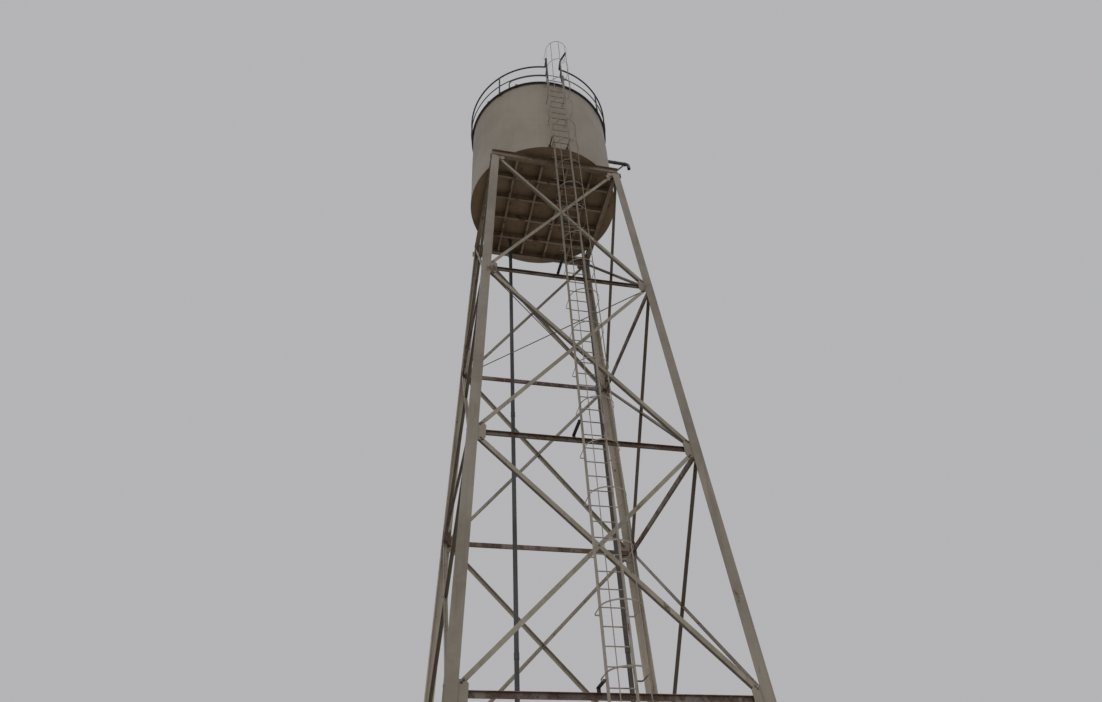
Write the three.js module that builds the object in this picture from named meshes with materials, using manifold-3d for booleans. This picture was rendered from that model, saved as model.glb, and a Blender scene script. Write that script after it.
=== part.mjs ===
import * as THREE from 'three';
import { mergeVertices } from 'three/addons/utils/BufferGeometryUtils.js';
import Module from 'manifold-3d';

// Elevated water tank on a battered four-legged steel tower, in millimetres, +Z up.
// The tower's front, with the caged ladder, faces -Y.

const wasm = await Module();
wasm.setup();

// Tower
const towerHeight = 19190;         // ground to leg tops
const topHalfWidth = 1826;         // outer faces of the legs at their tops
const batter = 0.0499;             // outward lean of each face, mm per mm of drop
const bayLevels = [0, 4783, 9487, 14301, towerHeight];
const legFlange = 200;
const legThickness = 16;
const workLine = 98;               // from a face's corner in to the line that the bars aim at
const basePlateSize = 460;
const basePlateThickness = 25;
const gussetThickness = 10;
const gussetReach = 150;           // how far a gusset shows beyond the leg's flange
const gussetHalfHeight = 200;
const capThickness = 12;
const cleatReach = 55;             // cleat on the outside of each leg's top, facing sideways
const cleatDepth = 90;
const cleatHeight = 220;
const cleatThickness = 10;
const clearance = 0.3;             // gap left between neighbouring pieces

// Bars of the sides
const braceFlange = 80;
const braceThickness = 8;
const braceTrim = 190;             // from the working point back to a brace's end
const horizontalDepth = 100;
const horizontalFlange = 50;
const horizontalWall = 8;
const horizontalEnd = 130;         // from a face's corner in to a horizontal's end
const planRodRadius = 12;

// Top frame and joists
const beamDepth = 240;
const beamFlange = 120;
const beamFlangeThickness = 10;
const beamWeb = 8;
const beamOverrun = 2;             // front and back beams past the corner legs
const beamLine = 1764;
const joistDepth = 200;
const joistFlange = 60;
const joistWall = 8;
const joistLines = [-1093, -364, 364, 1093];

// Tank
const tankRadius = 2170;
const tankBottom = towerHeight + beamDepth + 2 * clearance;
const tankFloorThickness = 8;
const tankTop = towerHeight + 3722;
const tankWallThickness = 8;
const tankRoofThickness = 8;
const tankSegments = 72;
const kerbReach = 58;
const kerbDrop = 60;
const kerbThickness = 8;

// Railing on the tank's rim
const railRadius = 2242;
const railHeight = 880;
const kneeRailHeight = 365;
const railTube = 24;
const kneeTube = 15;
const postTube = 20;
const postFoot = 110;              // below the tank's top
const postTurns = [45, 90, 135];   // degrees round from the ladder
const backPostTurn = 178.5;

// Ladders and cage
const ladderX = 0;
const tankLadderHalf = 250;
const towerLadderHalf = 218;
const ladderTopY = -2480;
const ladderLean = 0.0243;
const ladderTube = 24;
const rungSize = 20;
const rungPitch = 300;
const leftPipeTop = tankTop + 940;
const rightPipeTop = tankTop + 20;
const upperTube = 29;              // the thicker pipes above the roof
const handPipeX = tankLadderHalf - (ladderTube + upperTube) * Math.cos(Math.PI / 6) - clearance;
const handPipeFoot = tankTop - 300;
const handBend = tankTop + 888;
const handPath = [[0, 0, 0], [2, -5, 18], [10, -28, 32], [32, -80, 38], [116, -308, 54]];   // bent end, from the bend on
const cageHalfWidth = 325;
const cageDepth = 660;             // from the ladder to the front of a hoop
const cageThickness = 5;
const hoopHeight = 25;
const strapWidth = 16;
const cagePitch = 965;
const tankCagePitch = 1085;
const cageBottom = 2010;
const cageSections = 4;
const towerHoops = 19;
const tankHoops = 4;
const topHoopZ = tankTop + 862;
const standOffWidth = 40;
const standOffThickness = 10;

// Pipes
const supplyRadius = 52;
const supplyAt = [-765, 1366];
const drainAt = [1390, 800];
const overflowRadius = 56;
const overflowBore = 48;
const overflowZ = tankTop - 393;
const overflowEndX = 3060;
const overflowMouthZ = tankTop - 633;
const overflowBend = 110;
const strutRadius = 20;
const strutFromX = 2912;
const strutFootZ = tankTop - 1475;

function paint(color, roughness = 0.7, metalness = 0.2) {
  return new THREE.MeshStandardMaterial({ color, roughness, metalness });
}
const finishes = {
  tower: () => paint(0xb9ae9f),
  horizontal: () => paint(0x7d6452, 0.85),
  joist: () => paint(0x8a7b69, 0.85),
  floor: () => paint(0x5a4434, 0.9),
  tank: () => paint(0xc2b8a8),
  rim: () => paint(0x4c4742),
  pipe: () => paint(0x55565a, 0.5),
};

// A closed solid from any geometry.
function toSolid(geometry) {
  geometry.deleteAttribute('normal');
  geometry.deleteAttribute('uv');
  const welded = mergeVertices(geometry, 1e-3);
  const solid = new wasm.Manifold(new wasm.Mesh({
    numProp: 3,
    vertProperties: new Float32Array(welded.attributes.position.array),
    triVerts: new Uint32Array(welded.index.array),
  }));
  return solid;
}

function fuseSolid(geometries) {
  const solids = geometries.map(toSolid);
  let whole = solids[0];
  for (const solid of solids.slice(1)) {
    whole = whole.add(solid);
  }
  return whole;
}

function fuse(geometries) {
  return fromSolid(fuseSolid(geometries));
}

function fromSolid(solid) {
  const mesh = solid.getMesh();
  const geometry = new THREE.BufferGeometry();
  const stride = mesh.numProp;
  const count = mesh.vertProperties.length / stride;
  const positions = new Float32Array(count * 3);
  for (let i = 0; i < count; i += 1) {
    positions.set(mesh.vertProperties.subarray(i * stride, i * stride + 3), i * 3);
  }
  geometry.setAttribute('position', new THREE.BufferAttribute(positions, 3));
  geometry.setIndex(Array.from(mesh.triVerts));
  return geometry;
}

function outline(points) {
  return new THREE.Shape(points.map(([x, y]) => new THREE.Vector2(x, y)));
}

function extrude(points, length) {
  return new THREE.ExtrudeGeometry(outline(points), { depth: length, bevelEnabled: false, steps: 1 });
}

function box(low, high) {
  const size = high.map((value, i) => value - low[i]);
  const geometry = new THREE.BoxGeometry(...size);
  geometry.translate(...low.map((value, i) => value + size[i] / 2));
  return geometry;
}

// A straight bar: its section's x runs along sideways, its y along the third direction.
function bar(section, from, to, sideways) {
  const start = new THREE.Vector3(...from);
  const along = new THREE.Vector3(...to).sub(start);
  const length = along.length();
  along.normalize();
  const x = new THREE.Vector3(...sideways);
  x.addScaledVector(along, -x.dot(along)).normalize();
  const y = new THREE.Vector3().crossVectors(along, x);
  const place = new THREE.Matrix4().makeBasis(x, y, along).setPosition(start);
  return extrude(section, length).applyMatrix4(place);
}

function polygon(radius, sides) {
  const points = [];
  for (let i = 0; i < sides; i += 1) {
    const turn = (2 * Math.PI * (i + 0.5)) / sides;
    points.push([radius * Math.cos(turn), radius * Math.sin(turn)]);
  }
  return points;
}

function rod(radius, from, to, sides = 8) {
  const along = new THREE.Vector3(...to).sub(new THREE.Vector3(...from));
  const sideways = Math.abs(along.x) > Math.abs(along.z) ? [0, 0, 1] : [1, 0, 0];
  return bar(polygon(radius, sides), from, to, sideways);
}

// A slanted post whose ends are cut level, so that it stands flat on the ground.
function post(section, foot, head) {
  const rise = head[2] - foot[2];
  const slant = new THREE.Matrix4().set(
    1, 0, (head[0] - foot[0]) / rise, foot[0],
    0, 1, (head[1] - foot[1]) / rise, foot[1],
    0, 0, 1, foot[2],
    0, 0, 0, 1,
  );
  return extrude(section, rise).applyMatrix4(slant);
}

function sweep(radius, points, steps, sides = 8) {
  const path = new THREE.CatmullRomCurve3(points.map((p) => new THREE.Vector3(...p)), false, 'centripetal');
  return new THREE.ExtrudeGeometry(outline(polygon(radius, sides)), {
    extrudePath: path, steps, bevelEnabled: false,
  });
}

function ring(profile, segments) {
  const points = [...profile, profile[0]].map(([r, z]) => new THREE.Vector2(r, z));
  const geometry = new THREE.LatheGeometry(points, segments);
  geometry.rotateX(Math.PI / 2);
  return geometry;
}

function angleSection(flange, thickness) {
  return [[0, 0], [flange, 0], [flange, thickness], [thickness, thickness], [thickness, flange], [0, flange]];
}

// Leans a side that was drawn upright with its outer face on y = 0, so that it follows the batter.
function leanSide(geometry) {
  const lean = new THREE.Matrix4().set(
    1, 0, 0, 0,
    0, 1, batter, -(topHalfWidth + batter * towerHeight),
    0, 0, 1, 0,
    0, 0, 0, 1,
  );
  return geometry.applyMatrix4(lean);
}

function halfWidth(z) {
  return topHalfWidth + batter * (towerHeight - z);
}

const group = new THREE.Group();
group.name = 'water_tower';

function addPart(name, geometry, finish) {
  const flat = geometry.index ? geometry.toNonIndexed() : geometry;
  flat.computeVertexNormals();
  const mesh = new THREE.Mesh(flat, finishes[finish]());
  mesh.name = name;
  group.add(mesh);
}

const sides = [
  { name: 'front', turn: 0 },
  { name: 'right', turn: Math.PI / 2 },
  { name: 'back', turn: Math.PI },
  { name: 'left', turn: -Math.PI / 2 },
];
const corners = [
  { name: 'front_left', turn: 0 },
  { name: 'front_right', turn: Math.PI / 2 },
  { name: 'back_right', turn: Math.PI },
  { name: 'back_left', turn: -Math.PI / 2 },
];

// Leg: an angle whose corner runs down the tower's edge, with gussets at each level and a base plate.
function legGeometry() {
  const foot = basePlateThickness;
  const lean = new THREE.Matrix4().set(
    1, 0, batter, -(topHalfWidth + batter * towerHeight),
    0, 1, batter, -(topHalfWidth + batter * towerHeight),
    0, 0, 1, 0,
    0, 0, 0, 1,
  );
  const pieces = [];
  const angle = extrude(angleSection(legFlange, legThickness), towerHeight - capThickness - foot + 2);
  angle.translate(0, 0, foot - 1);
  pieces.push(angle);
  for (const level of bayLevels) {
    const low = Math.max(level - gussetHalfHeight, foot - 1);
    const high = Math.min(level + gussetHalfHeight, towerHeight - capThickness + 1);
    const nearEdge = legThickness - 1;
    const depthLow = legThickness - 1;
    const depthHigh = legThickness + gussetThickness;
    const tip = legFlange + gussetReach;
    const cut = 60;
    const shape = [
      [nearEdge, low], [tip - cut, low], [tip, low + cut], [tip, high - cut], [tip - cut, high], [nearEdge, high],
    ];
    const alongX = extrude(shape, depthHigh - depthLow);
    alongX.rotateX(Math.PI / 2);
    alongX.translate(0, depthHigh, 0);
    pieces.push(alongX);
    const alongY = extrude(shape, depthHigh - depthLow);
    alongY.rotateX(Math.PI / 2);
    alongY.rotateZ(Math.PI / 2);
    alongY.translate(depthLow, 0, 0);
    pieces.push(alongY);
  }
  for (const piece of pieces) {
    piece.applyMatrix4(lean);
  }
  const plateCentre = -halfWidth(0) + legFlange / 2;
  const half = basePlateSize / 2;
  pieces.push(box([plateCentre - half, plateCentre - half, 0], [plateCentre + half, plateCentre + half, foot]));
  const capLow = -topHalfWidth - 5;
  const capHigh = -topHalfWidth + legFlange + 30;
  pieces.push(box([capLow, capLow, towerHeight - capThickness], [capHigh, capHigh, towerHeight]));
  return fuse(pieces);
}

// Cleat: a short angle on the outside of a leg's top, its standing flange facing front or back.
function cleatBoxes(sideX, sideY) {
  const span = (side, from, to) => [Math.min(side * from, side * to), Math.max(side * from, side * to)];
  const low = towerHeight - cleatHeight;
  const high = towerHeight - capThickness - 2;
  const inside = topHalfWidth - 1;
  const edge = topHalfWidth + 3;
  const standing = [span(sideX, inside, topHalfWidth + cleatReach), span(sideY, edge - cleatThickness, edge)];
  const bolted = [span(sideX, inside, topHalfWidth + cleatThickness), span(sideY, edge - cleatDepth, edge)];
  return [standing, bolted].map(([x, y]) => box([x[0], y[0], low], [x[1], y[1], high]));
}

for (const { name, turn } of corners) {
  const sideX = name.endsWith('left') ? -1 : 1;
  const sideY = name.startsWith('front') ? -1 : 1;
  addPart(`leg_${name}`, fuse([legGeometry().rotateZ(turn), ...cleatBoxes(sideX, sideY)]), 'tower');
}

// X brace of one bay: two angles crossing, fused at the middle.
function braceGeometry(low, high) {
  const depth = legThickness + gussetThickness + clearance;
  const workPoint = (z) => halfWidth(z) - workLine;
  const bars = [-1, 1].map((way) => {
    const start = new THREE.Vector3(-way * workPoint(low), depth, low);
    const end = new THREE.Vector3(way * workPoint(high), depth, high);
    const along = end.clone().sub(start).normalize();
    start.addScaledVector(along, braceTrim);
    end.addScaledVector(along, -braceTrim);
    const across = new THREE.Vector3(0, 1, 0).cross(along).normalize();
    const shift = across.clone().multiplyScalar(-braceFlange / 2);
    start.add(shift);
    end.add(shift);
    return bar(angleSection(braceFlange, braceThickness), start.toArray(), end.toArray(), across.toArray());
  });
  return leanSide(fuse(bars));
}

bayLevels.slice(0, -1).forEach((low, bay) => {
  for (const { name, turn } of sides) {
    addPart(`brace_${name}_${bay + 1}`, braceGeometry(low, bayLevels[bay + 1]).rotateZ(turn), 'tower');
  }
});

// Horizontal: a channel behind the gussets with its open side out.
function horizontalGeometry(level) {
  const half = halfWidth(level) - horizontalEnd;
  const near = legThickness + gussetThickness + clearance;
  const far = near + horizontalFlange;
  const top = horizontalDepth / 2;
  const section = [
    [near, -top], [far, -top], [far, top], [near, top],
    [near, top - horizontalWall], [far - horizontalWall, top - horizontalWall],
    [far - horizontalWall, -top + horizontalWall], [near, -top + horizontalWall],
  ];
  const channel = bar(section, [-half, 0, level], [half, 0, level], [0, 1, 0]);
  return leanSide(channel);
}

bayLevels.slice(1, -1).forEach((level, index) => {
  for (const { name, turn } of sides) {
    addPart(`horizontal_${name}_${index + 1}`, horizontalGeometry(level).rotateZ(turn), 'horizontal');
  }
});

// Plan bracing: two thin rods across the tower at the highest horizontals, with a plate at each corner.
{
  const level = bayLevels[3];
  const half = halfWidth(level);
  const near = legThickness + gussetThickness + 2 * clearance;
  const far = horizontalEnd - 8;
  const rodEnd = half - 70;
  const slope = 0.2;
  const plate = [[near, near], [far, near], [far, far * 0.75], [far * 0.75, far], [near, far]]
    .map(([x, y]) => [x - half + slope, y - half + slope]);
  const pieces = [
    rod(planRodRadius, [-rodEnd, rodEnd, level], [rodEnd, -rodEnd, level], 6),
    rod(planRodRadius, [-rodEnd, -rodEnd, level], [rodEnd, rodEnd, level], 6),
  ];
  for (const { turn } of corners) {
    pieces.push(extrude(plate, 8).translate(0, 0, level - 4).rotateZ(turn));
  }
  addPart('plan_rods', fuse(pieces), 'horizontal');
}

function beamSection(depth, flange, flangeThickness, web) {
  const w = flange / 2;
  const t = web / 2;
  const h = depth / 2;
  const f = h - flangeThickness;
  return [
    [-w, -h], [w, -h], [w, -f], [t, -f], [t, f], [w, f], [w, h], [-w, h], [-w, f], [-t, f], [-t, -f], [-w, -f],
  ];
}

// Top frame: front and back beams run through, side beams fit between them.
{
  const section = beamSection(beamDepth, beamFlange, beamFlangeThickness, beamWeb);
  const z = towerHeight + clearance + beamDepth / 2;
  const long = topHalfWidth + beamOverrun;
  const short = beamLine - beamFlange / 2 - clearance;
  for (const [name, y] of [['front', -beamLine], ['back', beamLine]]) {
    addPart(`top_beam_${name}`, bar(section, [-long, y, z], [long, y, z], [0, 1, 0]), 'tower');
  }
  for (const [name, x] of [['left', -beamLine], ['right', beamLine]]) {
    addPart(`top_beam_${name}`, bar(section, [x, -short, z], [x, short, z], [1, 0, 0]), 'tower');
  }
}

// Joist grid, flush with the tops of the beams.
{
  const half = joistFlange / 2;
  const web = joistWall / 2;
  const bottom = -joistDepth / 2;
  const section = [
    [-half, bottom], [half, bottom], [half, bottom + joistWall], [web, bottom + joistWall],
    [web, joistDepth / 2], [-web, joistDepth / 2], [-web, bottom + joistWall], [-half, bottom + joistWall],
  ];
  const z = towerHeight + clearance + beamDepth - joistDepth / 2;
  const reach = beamLine - beamFlange / 2 - clearance;
  const joists = joistLines.flatMap((line) => [
    bar(section, [-reach, line, z], [reach, line, z], [0, 1, 0]),
    bar(section, [line, reach, z], [line, -reach, z], [1, 0, 0]),
  ]);
  addPart('joist_grid', fuse(joists), 'joist');
}

// A solid cylinder with the tank's own facets, for cutting what meets the tank's round parts.
function drum(radius, low, high) {
  const geometry = new THREE.CylinderGeometry(radius, radius, high - low, tankSegments);
  geometry.rotateX(Math.PI / 2);
  geometry.translate(0, 0, (low + high) / 2);
  return toSolid(geometry);
}

// Tank
{
  const floorTop = tankBottom + tankFloorThickness;
  const wallTop = tankTop - tankRoofThickness - clearance;
  const floor = new THREE.CylinderGeometry(tankRadius, tankRadius, tankFloorThickness, tankSegments);
  floor.rotateX(Math.PI / 2);
  floor.translate(0, 0, tankBottom + tankFloorThickness / 2);
  addPart('tank_floor', fuse([floor]), 'floor');

  const inner = tankRadius - tankWallThickness;
  addPart('tank_wall', fuse([ring([
    [inner, floorTop + clearance], [tankRadius, floorTop + clearance], [tankRadius, wallTop], [inner, wallTop],
  ], tankSegments)]), 'tank');

  const roof = new THREE.CylinderGeometry(tankRadius, tankRadius, tankRoofThickness, tankSegments);
  roof.rotateX(Math.PI / 2);
  roof.translate(0, 0, tankTop - tankRoofThickness / 2);
  addPart('tank_roof', fuse([roof]), 'tank');

  const near = tankRadius + clearance;
  addPart('kerb_ring', fuse([ring([
    [near, tankTop - kerbDrop], [near + kerbThickness, tankTop - kerbDrop],
    [near + kerbThickness, tankTop - kerbThickness], [near + kerbReach, tankTop - kerbThickness],
    [near + kerbReach, tankTop], [near, tankTop],
  ], tankSegments)]), 'rim');
}

// Railing in two halves that meet at the back and leave the ladder's way open at the front.
class RimArc extends THREE.Curve {
  constructor(radius, height, first, last) {
    super();
    Object.assign(this, { radius, height, first, last });
  }

  getPoint(t, target = new THREE.Vector3()) {
    const turn = this.first + (this.last - this.first) * t;
    return target.set(this.radius * Math.sin(turn), -this.radius * Math.cos(turn), this.height);
  }
}

// One rail of a half: round the rim, then forward to the ladder's side pipe.
function railRun(height, tube, way) {
  const endX = way > 0 ? handPipeX : tankLadderHalf;
  const first = Math.asin(endX / railRadius);
  const last = Math.PI - 0.5 / railRadius;
  const arc = new RimArc(railRadius, height, way * first, way * last);
  const bend = -railRadius * Math.cos(first);
  return [
    new THREE.ExtrudeGeometry(outline(polygon(tube, 6)), { extrudePath: arc, steps: 32, bevelEnabled: false }),
    bar(polygon(tube, 6), [way * endX, bend + tube * 0.8, height],
      [way * endX, ladderTopY + upperTube + clearance, height], [1, 0, 0]),
  ];
}

for (const [name, way] of [['left', -1], ['right', 1]]) {
  const pieces = [
    ...railRun(tankTop + railHeight, railTube, way),
    ...railRun(tankTop + kneeRailHeight, kneeTube, way),
  ];
  const turns = way < 0 ? [...postTurns, backPostTurn] : postTurns;
  for (const degrees of turns) {
    const turn = (degrees * Math.PI) / 180;
    const x = way * railRadius * Math.sin(turn);
    const y = -railRadius * Math.cos(turn);
    pieces.push(rod(postTube, [x, y, tankTop - postFoot], [x, y, tankTop + railHeight], 6));
  }
  const notch = drum(tankRadius + 2 * clearance + kerbReach, tankTop - 2 * postFoot, tankTop + postFoot);
  addPart(`railing_${name}`, fromSolid(fuseSolid(pieces).subtract(notch)), 'rim');
}

// Where the ladders stand, by height.
const tankLadderFoot = tankBottom + 20;
function ladderY(z) {
  return ladderTopY - ladderLean * Math.max(0, tankLadderFoot - z);
}

function rungsBetween(low, high, half) {
  const rungs = [];
  for (let z = low; z <= high; z += rungPitch) {
    const y = ladderY(z);
    rungs.push(rod(rungSize / Math.SQRT2, [ladderX - half, y, z], [ladderX + half, y, z], 4));
  }
  return rungs;
}

function standOff(x, z, toY) {
  const y = ladderY(z);
  const half = standOffThickness / 2;
  return box([x - half, Math.min(y, toY), z - standOffWidth / 2], [x + half, Math.max(y, toY), z + standOffWidth / 2]);
}

// Ladder on the tank, with its left pipe running on above the roof, and beside its right pipe a bent handhold.
{
  const left = ladderX - tankLadderHalf;
  const right = ladderX + tankLadderHalf;
  const uprightHold = (tube, foot) => rod(tube, [handPipeX, ladderTopY, foot], [handPipeX, ladderTopY, handBend + 1], 6);
  addPart('handhold', fuse([
    uprightHold(upperTube, handPipeFoot),
    sweep(upperTube, handPath.map(([x, y, rise]) => [handPipeX + x, ladderTopY + y, handBend + rise]), 12),
  ]), 'rim');

  const pieces = [
    rod(ladderTube, [left, ladderTopY, tankLadderFoot], [left, ladderTopY, tankTop], 6),
    rod(upperTube, [left, ladderTopY, tankTop - kerbDrop], [left, ladderTopY, leftPipeTop], 6),
    rod(ladderTube, [right, ladderTopY, tankLadderFoot], [right, ladderTopY, rightPipeTop], 6),
    ...rungsBetween(tankBottom + 100, tankTop - 60, tankLadderHalf),
  ];
  for (const x of [left, right]) {
    for (const z of [tankBottom + 60, tankBottom + 1200, tankBottom + 2350, tankTop - 160]) {
      pieces.push(standOff(x, z, -tankRadius + 60));
    }
  }
  const wall = drum(tankRadius + clearance, tankBottom - 100, tankTop - 100);
  const holdRoom = toSolid(uprightHold(upperTube + 1.1 * clearance, handPipeFoot - clearance));
  addPart('tank_ladder', fromSolid(fuseSolid(pieces).subtract(wall).subtract(holdRoom)), 'tower');
}

// Ladder up the tower's front.
{
  const pieces = [];
  const top = tankLadderFoot - clearance;
  const channelWeb = legThickness + gussetThickness + horizontalFlange - horizontalWall;
  for (const x of [ladderX - towerLadderHalf, ladderX + towerLadderHalf]) {
    pieces.push(post(polygon(ladderTube, 6), [x, ladderY(0), 0], [x, ladderY(top), top]));
    for (const level of bayLevels.slice(1, -1)) {
      const slope = (batter * standOffWidth) / 2;
      pieces.push(standOff(x, level, -halfWidth(level) + channelWeb - slope));
    }
    pieces.push(standOff(x, towerHeight + beamDepth / 2, -beamLine - beamWeb / 2 - clearance));
  }
  pieces.push(...rungsBetween(rungPitch, top - 80, towerLadderHalf));
  addPart('tower_ladder', fuse(pieces), 'tower');
}

// One hoop: straight sides out from the ladder, then a half circle, lying flat at its height.
function hoop(z, centreY, backY) {
  const r = cageHalfWidth;
  const t = cageThickness;
  const steps = 8;
  const outer = [[r, backY]];
  const inner = [[r - t, backY]];
  for (let i = 0; i <= steps; i += 1) {
    const turn = -(Math.PI * i) / steps;
    outer.push([r * Math.cos(turn), centreY + r * Math.sin(turn)]);
    inner.push([(r - t) * Math.cos(turn), centreY + (r - t) * Math.sin(turn)]);
  }
  outer.push([-r, backY]);
  inner.push([-r + t, backY]);
  const geometry = extrude([...outer, ...inner.reverse()], hoopHeight);
  geometry.translate(ladderX, 0, z - hoopHeight / 2);
  return geometry;
}

// A run of cage: hoops at the given heights, five upright straps inside them, and a foot from each hoop
// to each ladder pipe, the last right-hand one to a pipe of its own where topRight says so.
function cageRun(heights, [strapLow, strapHigh], ladderHalf, topRight = ladderHalf) {
  const rise = hoopHeight / 2;
  const half = strapWidth / 2;
  const thin = cageThickness / 2;
  const centre = (z) => ladderY(z) - cageDepth + cageHalfWidth;
  const pieces = [];
  for (const z of heights) {
    const back = ladderY(z) + thin;
    pieces.push(hoop(z, centre(z), back));
    for (const way of [-1, 1]) {
      const pipeX = way > 0 && z === heights.at(-1) ? topRight : ladderHalf;
      const tube = z > tankTop ? upperTube : ladderTube;
      const pipeSide = tube * Math.cos(Math.PI / 6) + clearance;
      const inside = ladderX + way * (pipeX + pipeSide);
      const outside = ladderX + way * cageHalfWidth;
      pieces.push(box(
        [Math.min(inside, outside), back - cageThickness, z - rise],
        [Math.max(inside, outside), back, z + rise],
      ));
    }
  }
  for (const angle of [0, 45, 90, 135, 180]) {
    const turn = (-angle * Math.PI) / 180;
    const reach = cageHalfWidth - cageThickness * 1.4;
    const cos = Math.cos(turn);
    const sin = Math.sin(turn);
    const at = (z) => [ladderX + reach * cos, centre(z) + reach * sin, z];
    const section = [[-thin, -half], [thin, -half], [thin, half], [-thin, half]]
      .map(([x, y]) => [x * cos - y * sin, x * sin + y * cos]);
    pieces.push(post(section, at(strapLow), at(strapHigh)));
  }
  return fuse(pieces);
}

{
  const half = hoopHeight / 2;
  const tankHeights = Array.from({ length: tankHoops }, (_, i) => topHoopZ - (tankHoops - 1 - i) * tankCagePitch);
  addPart('cage_tank', cageRun(tankHeights, [tankLadderFoot, topHoopZ + half], tankLadderHalf, handPipeX), 'tower');

  const heights = Array.from({ length: towerHoops }, (_, i) => cageBottom + i * cagePitch);
  const perRun = Math.ceil(towerHoops / cageSections);
  for (let run = 0; run < cageSections; run += 1) {
    const own = heights.slice(run * perRun, (run + 1) * perRun);
    const next = heights[(run + 1) * perRun];
    const strapHigh = next ? next - half - clearance : tankLadderFoot - clearance;
    addPart(`cage_tower_${run + 1}`, cageRun(own, [own[0] - half, strapHigh], towerLadderHalf), 'tower');
  }
}

// Supply and drain pipes, plumb from the ground to the tank's floor: one near the back, one near the right side.
for (const [name, at] of [['supply_pipe', supplyAt], ['drain_pipe', drainAt]]) {
  addPart(name, fuse([post(polygon(supplyRadius, 12), [...at, 0], [...at, tankBottom - clearance])]), 'pipe');
}

// Overflow pipe out of the tank's right side near the top, with an elbow, an open mouth and a strut to the wall.
{
  const startX = tankRadius - 60;
  const pipe = sweep(overflowRadius, [
    [startX, 0, overflowZ], [startX + 200, 0, overflowZ],
    [overflowEndX - overflowBend, 0, overflowZ],
    [overflowEndX - overflowBend * 0.3, 0, overflowZ - overflowBend * 0.3],
    [overflowEndX, 0, overflowZ - overflowBend],
    [overflowEndX, 0, overflowMouthZ],
  ], 20, 10);
  const strut = rod(strutRadius, [startX, 0, strutFootZ], [strutFromX, 0, overflowZ - overflowRadius + 12], 6);
  const foot = box([startX, -60, strutFootZ - 20], [tankRadius + 10, 60, strutFootZ + 140]);
  const bore = toSolid(rod(overflowBore, [overflowEndX, 0, overflowMouthZ - 20], [overflowEndX, 0, overflowMouthZ + 130], 10));
  const wall = drum(tankRadius + clearance, tankBottom - 100, tankTop);
  const body = fuseSolid([pipe, strut, foot]).subtract(bore).subtract(wall);
  addPart('overflow_pipe', fromSolid(body), 'rim');
}

// The origin is the middle of the footprint, at ground level.
{
  const bounds = new THREE.Box3().setFromObject(group);
  const middle = bounds.getCenter(new THREE.Vector3());
  for (const mesh of group.children) {
    mesh.geometry.translate(-middle.x, -middle.y, -bounds.min.z);
  }
}

export default group;
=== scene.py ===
import math
import bpy
import numpy as np
from mathutils import Matrix, Vector


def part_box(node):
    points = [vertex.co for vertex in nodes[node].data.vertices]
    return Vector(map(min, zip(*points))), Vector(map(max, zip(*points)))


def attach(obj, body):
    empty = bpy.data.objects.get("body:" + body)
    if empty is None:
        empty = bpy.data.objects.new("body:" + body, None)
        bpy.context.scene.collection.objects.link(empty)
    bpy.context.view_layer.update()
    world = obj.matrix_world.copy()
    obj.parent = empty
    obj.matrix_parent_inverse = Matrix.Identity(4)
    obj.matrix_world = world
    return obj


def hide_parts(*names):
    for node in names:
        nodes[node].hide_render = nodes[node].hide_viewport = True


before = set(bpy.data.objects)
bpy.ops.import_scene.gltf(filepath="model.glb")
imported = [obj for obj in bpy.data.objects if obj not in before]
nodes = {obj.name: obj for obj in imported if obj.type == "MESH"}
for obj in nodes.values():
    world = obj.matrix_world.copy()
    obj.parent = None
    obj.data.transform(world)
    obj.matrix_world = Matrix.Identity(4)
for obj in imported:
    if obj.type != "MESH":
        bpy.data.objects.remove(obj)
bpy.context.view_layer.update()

# Weathered steel water tower: a cream tank on four battered legs with X bracing, a caged ladder and
# a dark railing. Everything is in metres. The tower's front, with the ladder, faces -Y.

# The tower's upright axis, midway between the feet of the legs
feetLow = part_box("leg_front_left")[0]
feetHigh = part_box("leg_back_right")[1]
axisX = (feetLow.x + feetHigh.x) / 2
axisY = (feetLow.y + feetHigh.y) / 2

tower = {
    "height": 19.19,                  # ground to the legs' tops
    "topHalf": 1.826,                 # leg's outer face at its top
    "batter": 0.0499,                 # outward lean per metre of drop
    "levels": [0.0, 4.783, 9.487, 14.301, 19.19],
    "plateDepth": 0.016,              # gusset's outer face, in from the leg's
    "braceDepth": 0.0343,             # inner face of a brace's flat flange
    "workLine": 0.098,                # where a brace starts, in from the leg's outer face
}


# Half the tower's width over its legs at a height: the top's half plus the batter times the drop
def halfWidth(z):
    return tower["topHalf"] + tower["batter"] * (tower["height"] - z)


print("stage 1: camera, light and floor")

camera = {
    "place": (-3.551, -13.610, 1.465),   # from the tower's axis
    "heading": 14.54,                    # degrees
    "pitch": 41.11,
    "roll": -3.51,
    "lens": 24.23,
}


# The view looks along heading and pitch, then leans by roll about its own line of sight
def addCamera():
    data = bpy.data.cameras.new("camera")
    data.sensor_width = 36.0
    data.lens = camera["lens"]
    data.clip_start = 0.1
    data.clip_end = 500.0
    turn, tilt, roll = (math.radians(camera[key]) for key in ("heading", "pitch", "roll"))
    ahead = Vector((math.sin(turn) * math.cos(tilt), math.cos(turn) * math.cos(tilt), math.sin(tilt)))
    level = Vector((math.cos(turn), -math.sin(turn), 0.0))
    upright = level.cross(ahead)
    right = level * math.cos(roll) + upright * math.sin(roll)
    up = upright * math.cos(roll) - level * math.sin(roll)
    pose = Matrix((right, up, -ahead)).transposed().to_4x4()
    x, y, z = camera["place"]
    pose.translation = Vector((axisX + x, axisY + y, z))
    holder = bpy.data.objects.new("camera", data)
    holder.matrix_world = pose
    bpy.context.scene.collection.objects.link(holder)
    bpy.context.scene.camera = holder


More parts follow.
